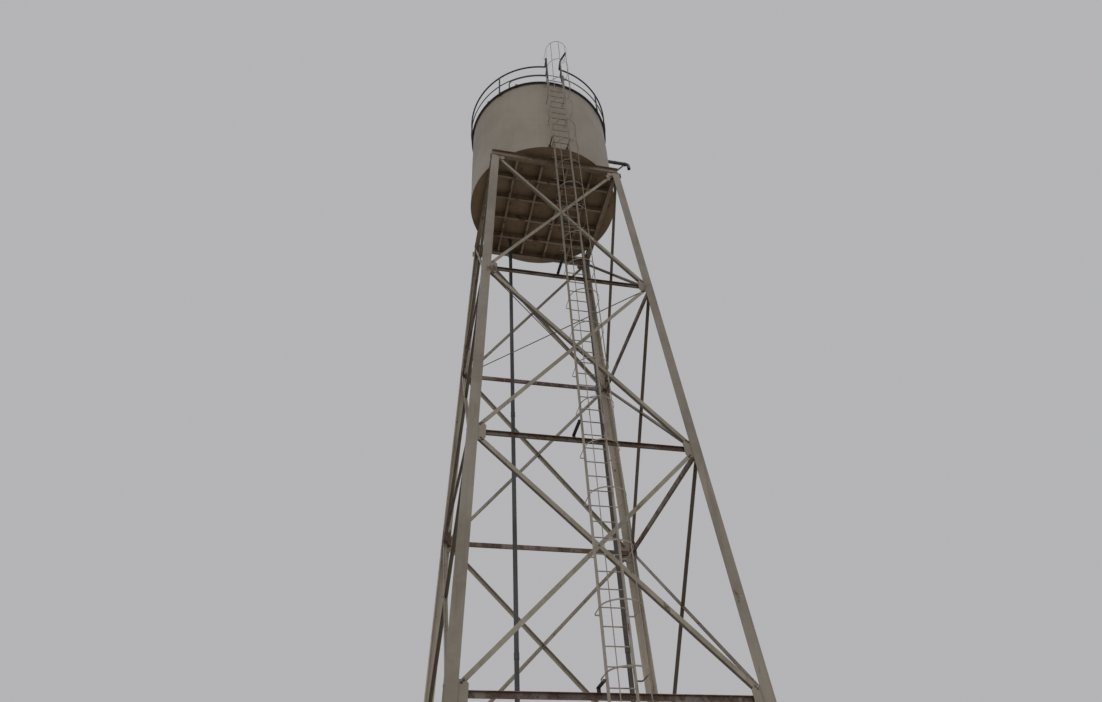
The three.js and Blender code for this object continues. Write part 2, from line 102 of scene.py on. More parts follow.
studio = {
    "backdrop": (0.46, 0.46, 0.475),
    "overhead": 0.62,          # brightness of the dome straight up
    "horizon": 0.30,
    "below": 0.13,
    "horizonBand": (0.46, 0.53),   # 0 is straight down, 1 straight up
    "domeBlue": 1.03,
    "keyStrength": 0.38,
    "keyTint": (1.0, 0.985, 0.96),
    "keyAngle": 60.0,          # degrees across, so its shadows are soft
    "keyFrom": (-0.25, -1.0, 0.42),
    "floor": (0.62, 0.61, 0.59),
    "floorShade": (0.56, 0.55, 0.53),
    "floorRadius": 24.0,
    "floorFade": 10.0,
}


# A dome that brightens with height lights the tower, and the camera sees a plain backdrop instead
def addLight():
    world = bpy.data.worlds.new("soft dome")
    world.use_nodes = True
    bpy.context.scene.world = world
    tree = world.node_tree
    tree.nodes.clear()

    def node(kind):
        return tree.nodes.new("ShaderNode" + kind)

    where = node("TexCoord")
    parts = node("SeparateXYZ")
    ramp = node("ValToRGB")
    spread = node("MapRange")
    spread.inputs["From Min"].default_value = -1.0
    tree.links.new(where.outputs["Generated"], parts.inputs[0])
    tree.links.new(parts.outputs["Z"], spread.inputs["Value"])
    tree.links.new(spread.outputs[0], ramp.inputs[0])
    darkTo, lightFrom = studio["horizonBand"]
    stops = [(0.0, studio["below"]), (darkTo, studio["below"]),
             (lightFrom, studio["horizon"]), (1.0, studio["overhead"])]
    while len(ramp.color_ramp.elements) < len(stops):
        ramp.color_ramp.elements.new(0.5)
    for element, (at, value) in zip(ramp.color_ramp.elements, stops):
        element.position = at
        element.color = (value, value, value * studio["domeBlue"], 1.0)
    dome = node("Background")
    plain = node("Background")
    plain.inputs["Color"].default_value = (*studio["backdrop"], 1.0)
    path = node("LightPath")
    blend = node("MixShader")
    out = node("OutputWorld")
    tree.links.new(ramp.outputs[0], dome.inputs["Color"])
    tree.links.new(path.outputs["Is Camera Ray"], blend.inputs[0])
    tree.links.new(dome.outputs[0], blend.inputs[1])
    tree.links.new(plain.outputs[0], blend.inputs[2])
    tree.links.new(blend.outputs[0], out.inputs["Surface"])

    key = bpy.data.lights.new("soft key", "SUN")
    key.energy = studio["keyStrength"]
    key.angle = math.radians(studio["keyAngle"])
    key.color = studio["keyTint"]
    lamp = bpy.data.objects.new("soft key", key)
    lamp.rotation_mode = "QUATERNION"
    lamp.rotation_quaternion = Vector(studio["keyFrom"]).to_track_quat("Z", "Y")
    bpy.context.scene.collection.objects.link(lamp)
    bpy.context.scene.view_settings.view_transform = "Standard"


addCamera()
addLight()


print("stage 2: finishes")


# Small makers for shader nodes, so that each finish reads as a short recipe
class Recipe:
    def __init__(self, name):
        self.material = bpy.data.materials.new(name)
        self.material.use_nodes = True
        self.tree = self.material.node_tree
        self.tree.nodes.clear()
        self.surface = self.node("BsdfPrincipled")
        self.out = self.node("OutputMaterial")
        self.link(self.surface.outputs[0], self.out.inputs["Surface"])
        self.place = self.node("TexCoord").outputs["Object"]
        parts = self.node("SeparateXYZ")
        self.link(self.place, parts.inputs[0])
        self.side, self.height = parts.outputs["X"], parts.outputs["Z"]

    def node(self, kind):
        return self.tree.nodes.new("ShaderNode" + kind)

    def link(self, a, b):
        self.tree.links.new(a, b)

    def feed(self, socket, value):
        if isinstance(value, bpy.types.NodeSocket):
            self.link(value, socket)
        elif isinstance(value, tuple) and len(value) == 3 and socket.type == "RGBA":
            socket.default_value = (*value, 1.0)
        else:
            socket.default_value = value

    def math(self, kind, a, b=0.0):
        step = self.node("Math")
        step.operation = kind
        self.feed(step.inputs[0], a)
        self.feed(step.inputs[1], b)
        return step.outputs[0]

    def mix(self, share, a, b):
        step = self.node("Mix")
        step.data_type = "RGBA"
        self.feed(step.inputs["Factor"], share)
        self.feed(step.inputs[6], a)
        self.feed(step.inputs[7], b)
        return step.outputs[2]

    # Smooth step from 0 below low to top above high
    def rise(self, value, low, high, top=1.0):
        step = self.node("MapRange")
        step.interpolation_type = "SMOOTHSTEP"
        self.feed(step.inputs["Value"], value)
        for socket, number in zip(step.inputs[1:5], (low, high, 0.0, top)):
            socket.default_value = number
        return step.outputs[0]

    def noise(self, scale, detail=5.0, rough=0.6, stretch=(1.0, 1.0, 1.0), shift=0.0, warp=0.0):
        place = self.node("Mapping")
        place.inputs["Location"].default_value = (shift, shift * 0.7, shift * 1.3)
        place.inputs["Scale"].default_value = stretch
        self.link(self.place, place.inputs["Vector"])
        step = self.node("TexNoise")
        self.link(place.outputs[0], step.inputs["Vector"])
        sockets = ("Scale", "Detail", "Roughness", "Distortion")
        for socket, number in zip(sockets, (scale, detail, rough, warp)):
            step.inputs[socket].default_value = number
        return step.outputs["Fac"]

    # 1 at each height of the list, falling to 0 at reach from it
    def nearHeights(self, heights, reach):
        total = 0.0
        for z in heights:
            gap = self.math("ABSOLUTE", self.math("SUBTRACT", self.height, z))
            total = self.math("ADD", self.math("SUBTRACT", 1.0, self.rise(gap, 0.0, reach)), total)
        return total

    # 1 on faces that look straight down, 0 on upright ones; the mask for painted shade on undersides
    def facingDown(self, low=0.25, high=0.85):
        shape = self.node("NewGeometry")
        parts = self.node("SeparateXYZ")
        self.link(shape.outputs["Normal"], parts.inputs[0])
        return self.rise(self.math("MULTIPLY", parts.outputs["Z"], -1.0), low, high)

    # 1 deep in corners and under laps, from ambient occlusion; the mask for painted shade and rust in corners
    def corners(self, distance):
        step = self.node("AmbientOcclusion")
        step.samples = 4
        step.inputs["Distance"].default_value = distance
        return self.math("SUBTRACT", 1.0, step.outputs["AO"])

    def bump(self, height, depth, strength=0.6):
        step = self.node("Bump")
        step.inputs["Strength"].default_value = strength
        step.inputs["Distance"].default_value = depth
        self.link(height, step.inputs["Height"])
        self.link(step.outputs[0], self.surface.inputs["Normal"])

    def done(self, colour, rough):
        self.feed(self.surface.inputs["Base Color"], colour)
        self.feed(self.surface.inputs["Roughness"], rough)
        self.surface.inputs["Specular IOR Level"].default_value = 0.35
        return self.material


grain = {
    "broad": 0.55,                         # scales of the paint's patterns, larger is finer
    "chalk": 5.0,
    "patch": 3.1,
    "speck": 34.0,
    "rustTone": 17.0,
    "fine": 70.0,
    "streakStretch": (13.0, 13.0, 0.55),   # rain runs are long and narrow
    "patchStretch": (1.0, 1.0, 0.6),
    "rustEdge": 0.09,                      # how softly a rust patch starts
    "relief": 0.0015,
}


# Old oil paint over steel: two tones, rain streaks, grime with painted shade in corners and on undersides,
# and rust that starts at joints and corners. With upperDark the paint darkens with height, and with
# darkPlates the cleats beyond a width and above a height get a dark tone of painted shade and rust, and so do
# the caps above a third value.
def weatheredPaint(name, look):
    steps = Recipe(name)
    shift = look["shift"]
    broad = steps.rise(steps.noise(grain["broad"], 5, 0.6, shift=shift), 0.36, 0.66)
    paint = steps.mix(broad, look["light"], look["dark"])
    chalk = steps.rise(steps.noise(grain["chalk"], 7, 0.7, shift=shift + 3), 0.45, 0.72, 0.35)
    paint = steps.mix(chalk, paint, look["chalk"])
    # Cleats and caps painted dark: painted shade with rust
    if "darkPlates" in look:
        beyond, above, capFrom = look["darkPlates"]
        far = steps.math("ABSOLUTE", steps.math("SUBTRACT", steps.side, axisX))
        cleats = steps.math("MULTIPLY", steps.rise(far, beyond, beyond + 0.001),
                            steps.rise(steps.height, above, above + 0.001))
        plates = steps.math("MAXIMUM", cleats, steps.rise(steps.height, capFrom, capFrom + 0.001))
        paint = steps.mix(plates, paint, look["plateShadeAndRust"])
    if "upperDark" in look:
        paint = steps.mix(steps.rise(steps.height, *look["upperSpan"]), paint, look["upperDark"])
    streaks = steps.noise(1.0, 7, 0.62, stretch=grain["streakStretch"], shift=shift + 7)
    paint = steps.mix(steps.rise(streaks, 0.5, 0.74, look["streak"]), paint, look["streakTone"])
    # Painted shade with grime: corners and recesses found by ambient occlusion darken towards the dark grime
    # tone
    corner = steps.corners(look["cornerReach"])
    paint = steps.mix(steps.rise(corner, 0.28, 0.85, look["cornerShadeAndGrime"]), paint, look["shadeAndGrime"])
    # Painted shade with grime: faces looking down darken towards the same dark tone
    paint = steps.mix(steps.math("MULTIPLY", steps.facingDown(), look["undersideShadeAndGrime"]), paint, look["shadeAndGrime"])
    joints = steps.nearHeights(look["jointHeights"], look["jointReach"])
    patches = steps.noise(grain["patch"], 9, 0.66, stretch=grain["patchStretch"], shift=shift + 11, warp=0.3)
    ready = steps.math("ADD", patches, steps.math("MULTIPLY", joints, look["jointRust"]))
    ready = steps.math("ADD", ready, steps.math("MULTIPLY", corner, look["cornerRust"]))
    rust = steps.rise(ready, look["rustFrom"], look["rustFrom"] + grain["rustEdge"], look["rustCover"])
    specks = steps.rise(steps.noise(grain["speck"], 6, 0.7, shift=shift + 5), 0.66, 0.72, look["specks"])
    rust = steps.math("MAXIMUM", rust, specks)
    deep = steps.rise(steps.noise(grain["rustTone"], 6, 0.7), 0.35, 0.65)
    rustTone = steps.mix(deep, look["rust"], look["rustDeep"])
    colour = steps.mix(rust, paint, rustTone)
    fine = steps.noise(grain["fine"], 4, 0.6)
    relief = steps.math("ADD", steps.math("MULTIPLY", fine, 0.35), steps.math("MULTIPLY", rust, 0.5))
    steps.bump(relief, grain["relief"])
    rough = steps.math("ADD", steps.math("MULTIPLY", rust, 0.28), steps.rise(broad, 0.0, 1.0, 0.14))
    return steps.done(colour, steps.math("ADD", rough, look["rough"]))


creamPaint = {
    "shift": 0.0,
    "light": (0.50, 0.445, 0.37),
    "dark": (0.39, 0.34, 0.275),
    "chalk": (0.55, 0.505, 0.43),
    "streak": 0.5,
    "streakTone": (0.24, 0.185, 0.135),
    # A dark tone and its amounts for painted shade with grime, in corners and on faces looking down
    "shadeAndGrime": (0.085, 0.058, 0.038),
    "cornerReach": 0.16,
    "cornerShadeAndGrime": 0.75,
    "undersideShadeAndGrime": 0.6,
    "jointHeights": tower["levels"],
    "jointReach": 0.45,
    "jointRust": 0.10,
    "cornerRust": 0.05,
    "rustFrom": 0.60,
    "rustCover": 0.85,
    "specks": 0.6,
    "rust": (0.20, 0.105, 0.062),
    "rustDeep": (0.085, 0.045, 0.028),
    "rough": 0.5,
}

# Where a finish departs from the cream paint; shift moves its patterns
finishes = {
    # The leg's cleats and caps get a near-black tone: painted shade with rust
    "leg": dict(light=(0.385, 0.335, 0.27), dark=(0.29, 0.248, 0.195),
                chalk=(0.43, 0.385, 0.32), rustFrom=0.62, jointRust=0.07, plateShadeAndRust=(0.06, 0.044, 0.032),
                darkPlates=(tower["topHalf"] + 0.014, tower["height"] - 0.25, tower["height"] - 0.03)),
    # A paler copy of the paint as painted light: on the back legs, for the light their faces catch, and on
    # the tank's upper arms, over their shaded undersides
    "paintedLight": dict(shift=9.0, light=(0.58, 0.51, 0.41), dark=(0.44, 0.38, 0.30),
                   rustFrom=0.60, chalk=(0.62, 0.56, 0.46), shadeAndGrime=(0.24, 0.18, 0.13)),
    # The three brace finishes are lit and shaded copies of one paint: paler on the back braces as painted
    # light, darker on the right side's braces as painted shade
    "brace": dict(shift=21.0, light=(0.42, 0.37, 0.285), dark=(0.30, 0.255, 0.19),
                  streak=0.6, rustFrom=0.59, undersideShadeAndGrime=0.85),
    "litBackBrace": dict(shift=25.0, light=(0.52, 0.465, 0.37), dark=(0.39, 0.34, 0.265),
                      streak=0.5, rustFrom=0.60, undersideShadeAndGrime=0.45),
    "shadedBrace": dict(shift=29.0, light=(0.27, 0.22, 0.175), dark=(0.17, 0.135, 0.105),
                        chalk=(0.32, 0.27, 0.22), streak=0.6, streakTone=(0.12, 0.085, 0.06),
                        rustFrom=0.57, undersideShadeAndGrime=0.85),
    "beam": dict(shift=33.0, light=(0.33, 0.245, 0.16), dark=(0.22, 0.15, 0.095),
                 jointRust=0.04, shadeAndGrime=(0.11, 0.07, 0.04), undersideShadeAndGrime=0.15),
    "channel": dict(shift=45.0, light=(0.31, 0.255, 0.21), dark=(0.18, 0.135, 0.108),
                    chalk=(0.40, 0.35, 0.29), streakTone=(0.14, 0.10, 0.078), shadeAndGrime=(0.085, 0.06, 0.046),
                    rustFrom=0.56, cornerShadeAndGrime=0.8, rust=(0.20, 0.125, 0.09), undersideShadeAndGrime=0.4),
    "joist": dict(shift=57.0, light=(0.38, 0.285, 0.19), dark=(0.27, 0.19, 0.12),
                  chalk=(0.40, 0.32, 0.225), shadeAndGrime=(0.17, 0.11, 0.065), rustFrom=0.6, undersideShadeAndGrime=0.0,
                  cornerReach=0.06, cornerShadeAndGrime=0.5),
    "underside": dict(shift=69.0, light=(0.31, 0.205, 0.115), dark=(0.21, 0.135, 0.072),
                      chalk=(0.34, 0.24, 0.145), streak=0.2, shadeAndGrime=(0.12, 0.078, 0.044), undersideShadeAndGrime=0.0,
                      rustFrom=0.58, rust=(0.24, 0.14, 0.07), rustDeep=(0.12, 0.07, 0.038),
                      jointRust=0.0, cornerReach=0.35, cornerShadeAndGrime=0.8),
    "ladder": dict(shift=81.0, light=(0.47, 0.42, 0.35), rustFrom=0.575, cornerReach=0.06,
                   upperDark=(0.31, 0.26, 0.195), upperSpan=(8.0, 15.0), undersideShadeAndGrime=0.5),
    "tankLadder": dict(shift=87.0, light=(0.36, 0.315, 0.26), dark=(0.27, 0.235, 0.19),
                       rustFrom=0.6, cornerReach=0.06, upperDark=(0.075, 0.066, 0.06),
                       upperSpan=(22.55, 22.95), jointRust=0.0),
    "cage": dict(shift=97.0, light=(0.48, 0.43, 0.36), dark=(0.36, 0.32, 0.26),
                 rustFrom=0.59, cornerReach=0.04, upperDark=(0.30, 0.25, 0.19), upperSpan=(8.0, 15.0),
                 undersideShadeAndGrime=0.5),
    "tankCage": dict(shift=101.0, light=(0.44, 0.40, 0.345), dark=(0.34, 0.305, 0.26),
                     jointRust=0.0, cornerReach=0.03, streak=0.3, rustFrom=0.62),
    "kerb": dict(shift=89.0, light=(0.17, 0.15, 0.13), dark=(0.12, 0.105, 0.09),
                 chalk=(0.18, 0.16, 0.14), streakTone=(0.08, 0.06, 0.045), shadeAndGrime=(0.05, 0.04, 0.032),
                 rustFrom=0.60, jointRust=0.0),
    "dark": dict(shift=93.0, light=(0.078, 0.070, 0.064), dark=(0.052, 0.046, 0.043),
                 chalk=(0.12, 0.105, 0.095), streakTone=(0.05, 0.037, 0.03), shadeAndGrime=(0.025, 0.02, 0.017),
                 rustFrom=0.62, jointRust=0.0),
    "greyPipe": dict(shift=105.0, light=(0.105, 0.107, 0.109), dark=(0.072, 0.074, 0.077),
                     chalk=(0.15, 0.15, 0.15), streakTone=(0.07, 0.062, 0.056), shadeAndGrime=(0.035, 0.032, 0.03),
                     rustFrom=0.85, specks=0.0, rough=0.4, jointRust=0.0),
    "warmPipe": dict(shift=111.0, light=(0.115, 0.103, 0.09), dark=(0.08, 0.071, 0.062),
                     chalk=(0.16, 0.145, 0.13), streakTone=(0.075, 0.06, 0.048), shadeAndGrime=(0.04, 0.033, 0.027),
                     rustFrom=0.7, specks=0.2, rough=0.45, jointRust=0.0),
    "tank": dict(shift=117.0, light=(0.445, 0.385, 0.31), dark=(0.40, 0.345, 0.272),
                 chalk=(0.465, 0.41, 0.33), streak=0.22, streakTone=(0.29, 0.245, 0.195),
                 jointHeights=[19.45, 22.86], jointReach=0.2, jointRust=0.08, rustFrom=0.69,
                 rustCover=0.6, specks=0.15, cornerReach=0.25),
    "bolt": dict(shift=129.0, light=(0.30, 0.25, 0.195), dark=(0.18, 0.135, 0.10),
                 rustFrom=0.52, specks=1.0),
    "galvanised": dict(shift=141.0, light=(0.16, 0.15, 0.14), dark=(0.11, 0.10, 0.092),
                       chalk=(0.22, 0.21, 0.20), rustFrom=0.6, jointRust=0.0, rough=0.42),
}
materials = {name: weatheredPaint(name + " paint", {**creamPaint, **own}) for name, own in finishes.items()}

# Finish of each solid by how its name starts; the first match counts
kinds = [
    # The back legs take the pale finish as painted light
    ("leg_back", "paintedLight"), ("leg_", "leg"),
    # Back and right braces take lit and shaded copies of the brace paint
    ("brace_back", "litBackBrace"), ("brace_right", "shadedBrace"), ("brace_", "brace"),
    ("top_beam", "beam"), ("horizontal_", "channel"), ("plan_rods", "channel"), ("joist_grid", "joist"),
    ("tank_floor", "underside"), ("tank_", "tank"), ("kerb_ring", "dark"),
    ("railing_", "dark"), ("handhold", "dark"), ("tower_ladder", "ladder"), ("cage_", "cage"),
    ("overflow_pipe", "galvanised"), ("supply_pipe", "greyPipe"), ("drain_pipe", "greyPipe"),
]
for nodeName, thing in nodes.items():
    finish = next(material for start, material in kinds if nodeName.startswith(start))
    thing.data.materials.clear()
    thing.data.materials.append(materials[finish])


print("stage 3: shapes")

# A shape is a pair: its points, and a list of face arrays. Places are measured from the tower's axis.

roundSides = 288   # faces round the tank
head = {           # a bolt's head, all times its width across the flats
    "rise": 0.52,
    "crownRadius": 0.46,
    "crownRise": 0.60,
    "washerRadius": 0.95,
    "washerRise": 0.09,
}


# Quads of a grid of points, row after row; a wrapped way joins its last line to its first
def gridFaces(rows, columns, wrapRows=False, wrapColumns=True):
    i = np.arange(rows if wrapRows else rows - 1)[:, None]
    j = np.arange(columns if wrapColumns else columns - 1)[None, :]
    nextRow, nextColumn = (i + 1) % rows, (j + 1) % columns
    here, beside = i * columns + j, i * columns + nextColumn
    over, across = nextRow * columns + j, nextRow * columns + nextColumn
    return np.stack([here, beside, across, over], -1).reshape(-1, 4)


# Equal steps of turn round a circle: radius times cosine and sine
def circle(radius, sides):
    turn = 2.0 * np.pi * np.arange(sides) / sides
    return radius * np.stack([np.cos(turn), np.sin(turn)], 1)


# Section of a flat bar: a rectangle with its four corners cut by edge
def flat(width, thickness, edge=0.001):
    x, y = width / 2.0, thickness / 2.0
    return np.array([(x, edge - y), (x, y - edge), (x - edge, y), (edge - x, y),
                     (-x, y - edge), (-x, edge - y), (edge - x, -y), (x - edge, -y)])


# Vectors divided by their own lengths
def unit(vectors):
    return vectors / np.linalg.norm(vectors, axis=-1, keepdims=True)


# An outline carried along a path: at each point of the path its x runs along aside, made square to the path,
# and its y along the third direction. A bore is the same with a second, smaller outline inside it.
def carry(path, outline, aside, bore=None):
    path = np.asarray(path, float)
    along = unit(np.gradient(path, axis=0))
    aside = np.broadcast_to(np.asarray(aside, float), path.shape)
    aside = unit(aside - along * np.sum(aside * along, 1, keepdims=True))
    across = np.cross(along, aside)

    def sheet(section):
        return path[:, None] + section[None, :, :1] * aside[:, None] + section[None, :, 1:] * across[:, None]

    rows, columns = len(path), len(outline)
    points = sheet(outline).reshape(-1, 3)
    walls = gridFaces(rows, columns)
    last = (rows - 1) * columns
    if bore is None:
        return points, [walls, np.arange(columns)[None, ::-1], last + np.arange(columns)[None, :]]
    inner = len(points)
    rim = gridFaces(2, columns)
    ends = np.concatenate([np.arange(columns), inner + np.arange(columns)])
    return (np.concatenate([points, sheet(bore).reshape(-1, 3)]),
            [walls, inner + walls[:, ::-1], ends[rim][:, ::-1], (ends + last)[rim]])


# A circle carried along a path, solid, or bored to leave a wall
def tube(path, radius, aside, sides=16, wall=None):
    bore = None if wall is None else circle(radius - wall, sides)
    return carry(path, circle(radius, sides), aside, bore)


# A closed profile turned about the axis: radius and height are both functions of turn and profile
def turned(radii, heights, segments=roundSides):
    turn = 2.0 * np.pi * np.arange(segments)[:, None] / segments
    radii, heights = np.broadcast_arrays(radii, np.asarray(heights) + 0.0 * turn)
    points = np.stack([radii * np.sin(turn), -radii * np.cos(turn), heights], -1)
    faces = gridFaces(segments, points.shape[1], wrapRows=True)[:, ::-1]
    return points.reshape(-1, 3), [faces]


# A round plate: rings of points from the middle out on top, back in underneath, with a fan at each middle
def roundPlate(radius, low, high, rings=8, segments=roundSides):
    turn = 2.0 * np.pi * np.arange(segments)[None, :] / segments
    out = radius * np.arange(1, rings + 1) / rings
    radii = np.concatenate([out, out[::-1]])[:, None]
    heights = np.concatenate([np.full(rings, high), np.full(rings, low)])[:, None] + 0.0 * turn
    points = np.stack([radii * np.sin(turn), -radii * np.cos(turn), heights], -1).reshape(-1, 3)
    points = np.concatenate([points, [(0.0, 0.0, high), (0.0, 0.0, low)]])
    walls = gridFaces(2 * rings, segments)[:, ::-1]
    here, there = np.arange(segments), np.roll(np.arange(segments), -1)
    under = (2 * rings - 1) * segments
    top, bottom = np.full(segments, len(points) - 2), np.full(segments, len(points) - 1)
    upperFan = np.stack([top, here, there], 1)
    lowerFan = np.stack([bottom, under + there, under + here], 1)
    return points, [walls, upperFan, lowerFan]


# Hexagon heads on round washers: rings of corners stepped up and in, laid along each place's normal,
# or along one normal for all
def hexHeads(places, normals, size, washer=True):
    places = np.atleast_2d(places)
    normals = unit(np.broadcast_to(np.asarray(normals, float), places.shape))
    hexagon = np.where(np.arange(12) % 2 == 0, 1.0, math.cos(math.pi / 6)) * size / math.sqrt(3.0)
    crown = np.full(12, head["crownRadius"] * size)
    rings = [(hexagon, 0.0), (hexagon, head["rise"] * size), (crown, head["crownRise"] * size)]
    if washer:
        wide, low = np.full(12, head["washerRadius"] * size), head["washerRise"] * size
        rings = [(wide, 0.0), (wide, low), (hexagon, low)] + rings[1:]
    turn = 2.0 * np.pi * np.arange(12) / 12
    layers = [np.stack([r * np.cos(turn), r * np.sin(turn), np.full(12, h)], 1) for r, h in rings]
    shape = np.concatenate(layers)
    helper = np.where(np.abs(normals[:, 2:]) > 0.9, [[1.0, 0.0, 0.0]], [[0.0, 0.0, 1.0]])
    aside = unit(np.cross(helper, normals))
    across = np.cross(normals, aside)
    frames = np.stack([aside, across, normals], 1)
    points = places[:, None] + np.einsum("pk,nkc->npc", shape, frames)
    count, corners = len(places), len(shape)
    start = corners * np.arange(count)[:, None, None]
    walls = (gridFaces(len(rings), 12)[None] + start).reshape(-1, 4)
    top = (np.arange(corners - 12, corners)[None, None] + start).reshape(-1, 12)
    bottom = (np.arange(12)[None, None, ::-1] + start).reshape(-1, 12)
    return points.reshape(-1, 3), [walls, top, bottom]


# A quadratic curve from start to end that heads for corner: start (1-t)^2 + 2 corner t (1-t) + end t^2
def softCorner(start, corner, end, steps=8):
    t = np.linspace(0.0, 1.0, steps)[:, None]
    start, corner, end = (np.asarray(p, float) for p in (start, corner, end))
    return start * (1 - t) ** 2 + 2 * corner * t * (1 - t) + end * t ** 2


# A path through corners, each rounded over reach on both sides
def bentPath(corners, reach, steps=8):
    corners = np.asarray(corners, float)
    ahead = unit(np.diff(corners, axis=0))
    pieces = [corners[:1]]
    for before, corner, after in zip(ahead[:-1], corners[1:-1], ahead[1:]):
        pieces.append(softCorner(corner - reach * before, corner, corner + reach * after, steps))
    return np.concatenate(pieces + [corners[-1:]])


# Places in plan lifted to one height
def atHeight(spots, z):
    return np.column_stack([spots, np.full(len(spots), z)])


# Places on the tank's rim: turn in degrees from the ladder, positive to the right
def rimPoint(degrees, radius, z):
    turn = np.radians(degrees)
    return np.stack(np.broadcast_arrays(radius * np.sin(turn), -radius * np.cos(turn), z), -1)


# Places on the four sides: x along the side, depth in from the legs' outer face, z the height
def sidePoints(x, depth, z):
    x, depth, z = np.broadcast_arrays(*np.atleast_1d(x, depth, z))
    y = -halfWidth(z) + depth
    return np.concatenate([np.stack(p, -1) for p in ((x, y, z), (-y, x, z), (-x, -y, z), (y, -x, z))])


# Shapes joined into one mesh at the tower's axis; stands names the solids that the piece replaces
def addPiece(name, shapes, finish, stands=(), smoothBelow=40.0):
    points, faces, start = [], [], 0
    for shapePoints, shapeFaces in shapes:
        points.append(shapePoints)
        faces += [row for block in shapeFaces for row in (block + start).tolist()]
        start += len(shapePoints)
    mesh = bpy.data.meshes.new(name)
    mesh.from_pydata((np.concatenate(points) + (axisX, axisY, 0.0)).tolist(), [], faces)
    mesh.polygons.foreach_set("use_smooth", np.ones(len(mesh.polygons), bool))
    mesh.set_sharp_from_angle(angle=math.radians(smoothBelow))
    mesh.materials.append(materials[finish])
    piece = bpy.data.objects.new(name, mesh)
    bpy.context.scene.collection.objects.link(piece)
    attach(piece, "root")
    if stands:
        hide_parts(*stands)


print("stage 4: tank")

tank = {
    "radius": 2.168,
    "bottom": 19.4306,
    "top": 22.912,
    "plate": 0.008,
    "wave": 0.0012,                    # how far the rolled plates are out of round
    "girthWelds": [20.60, 21.76],
    "courseWelds": [(-38.0, 82.0, 202.0), (22.0, 142.0, 262.0), (-38.0, 82.0, 202.0)],   # degrees
    "courseBead": 0.0035,              # radii of the weld beads
    "seamBead": 0.004,
    "floorBead": 0.006,
    "beadWidth": 0.006,
    "beadRise": 0.003,
    "floorSeams": [-1.45, 0.0, 1.45],
    "kerbGap": 0.0023,
    "kerbReach": 0.0583,
    "kerbDrop": 0.060,
}


# The wall: radius is a function of turn and height, with a slow wave round it and a bead at each girth weld
def addTankWall():
    low, high = tank["bottom"] + tank["plate"], tank["top"] - tank["plate"]
    close = np.linspace(-2.5, 2.5, 11) * tank["beadWidth"]
    nearWelds = [z + close for z in tank["girthWelds"]]
    heights = np.unique(np.concatenate([np.linspace(low, high, 22)] + nearWelds))
    turn = 2.0 * np.pi * np.arange(roundSides)[:, None] / roundSides
    share = (heights - low) / (high - low)
    wave = tank["wave"] * np.sin(3 * turn + 1.1 + 2.0 * share) * np.sin(np.pi * share)
    swells = [np.exp(-((heights - z) / tank["beadWidth"]) ** 2) for z in tank["girthWelds"]]
    bead = sum(swells) * tank["beadRise"]
    outer = tank["radius"] - tank["wave"] + wave + bead
    inner = np.full_like(outer, tank["radius"] - tank["plate"])
    shell = turned(np.concatenate([outer, inner[:, ::-1]], 1), np.concatenate([heights, heights[::-1]]))

    beads = []
    edges = [low, *tank["girthWelds"], high]
    for bottom, top, turns in zip(edges[:-1], edges[1:], tank["courseWelds"]):
        for degrees in turns:
            path = rimPoint(degrees, tank["radius"] - 0.001, np.linspace(bottom, top, 8))
            beads.append(tube(path, tank["courseBead"], rimPoint(degrees + 90.0, 1.0, 0.0), sides=8))
    addPiece("tank_shell", [shell, *beads], "tank", ["tank_wall"])


# Floor and roof: round plates with straight seams across, each as long as the circle's chord there
def addTankPlates():
    bottom, top, plate, radius = tank["bottom"], tank["top"], tank["plate"], tank["radius"]

    def seams(z):
        halves = [(y, math.sqrt(radius ** 2 - y ** 2) - 0.01) for y in tank["floorSeams"]]
        paths = [[(-half, y, z), (half, y, z)] for y, half in halves]
        return [tube(path, tank["seamBead"], (0, 0, 1), sides=8) for path in paths]

    floor = [roundPlate(radius, bottom, bottom + plate), *seams(bottom)]
    addPiece("floor_plate", floor, "underside", ["tank_floor"])
    roof = [roundPlate(radius, top - plate, top), *seams(top)]
    addPiece("roof_plate", roof, "tank", ["tank_roof"])
    edge = rimPoint(np.linspace(0.0, 360.0, roundSides + 1), radius, bottom + plate / 2)
    bead = tube(edge, tank["floorBead"], (0, 0, 1), sides=8)
    addPiece("floor_weld", [bead], "underside")


# The kerb: an angle section turned about the axis, its flat flange out at the top
def addKerb():
    near, top, plate = tank["radius"], tank["top"], tank["plate"]
    wide, low = tank["radius"] + tank["kerbGap"] + tank["kerbReach"], tank["top"] - tank["kerbDrop"]
    radii = [near, near + plate, near + plate, wide, wide, near]
    heights = [low, low, top - plate, top - plate, top, top]
    section = np.array(radii)[None, :] + np.zeros((roundSides, 1))
    addPiece("kerb_angle", [turned(section, heights)], "kerb", ["kerb_ring"])


addTankWall()
addTankPlates()
addKerb()


print("stage 5: railing")

railing = {
    "radius": 2.242,
    "height": 0.88,
    "tube": 0.024,
    "kneeHeight": 0.365,
    "kneeTube": 0.015,
    "postTube": 0.023,
    "postFoot": 0.11,
    "posts": [45.0, 90.0, 135.0, 181.5, -135.0, -90.0, -45.0],
    "plate": (0.072, 0.010),            # under each post
    "lastTurns": (-178.6, 181.4),       # where the left and the right rails end, at the back
    "cornerReach": 0.03,
    "endShift": 0.027,                  # how far right of its pipe a rail turns forward
    "leftEnd": (-0.25, -2.48),          # at the ladder's left pipe
    "rightEnd": (0.2038, -2.48),        # at the handhold
    "lowPipeTube": 0.020,               # second pipe below the knee rail, left of the ladder
    "lowPipeTurn": -33.0,
    "lugs": [-58.0, -30.0, 45.0],
    "lug": (0.075, 0.016),
    "lugSpan": (-0.045, 0.055),         # from the tank's top
}


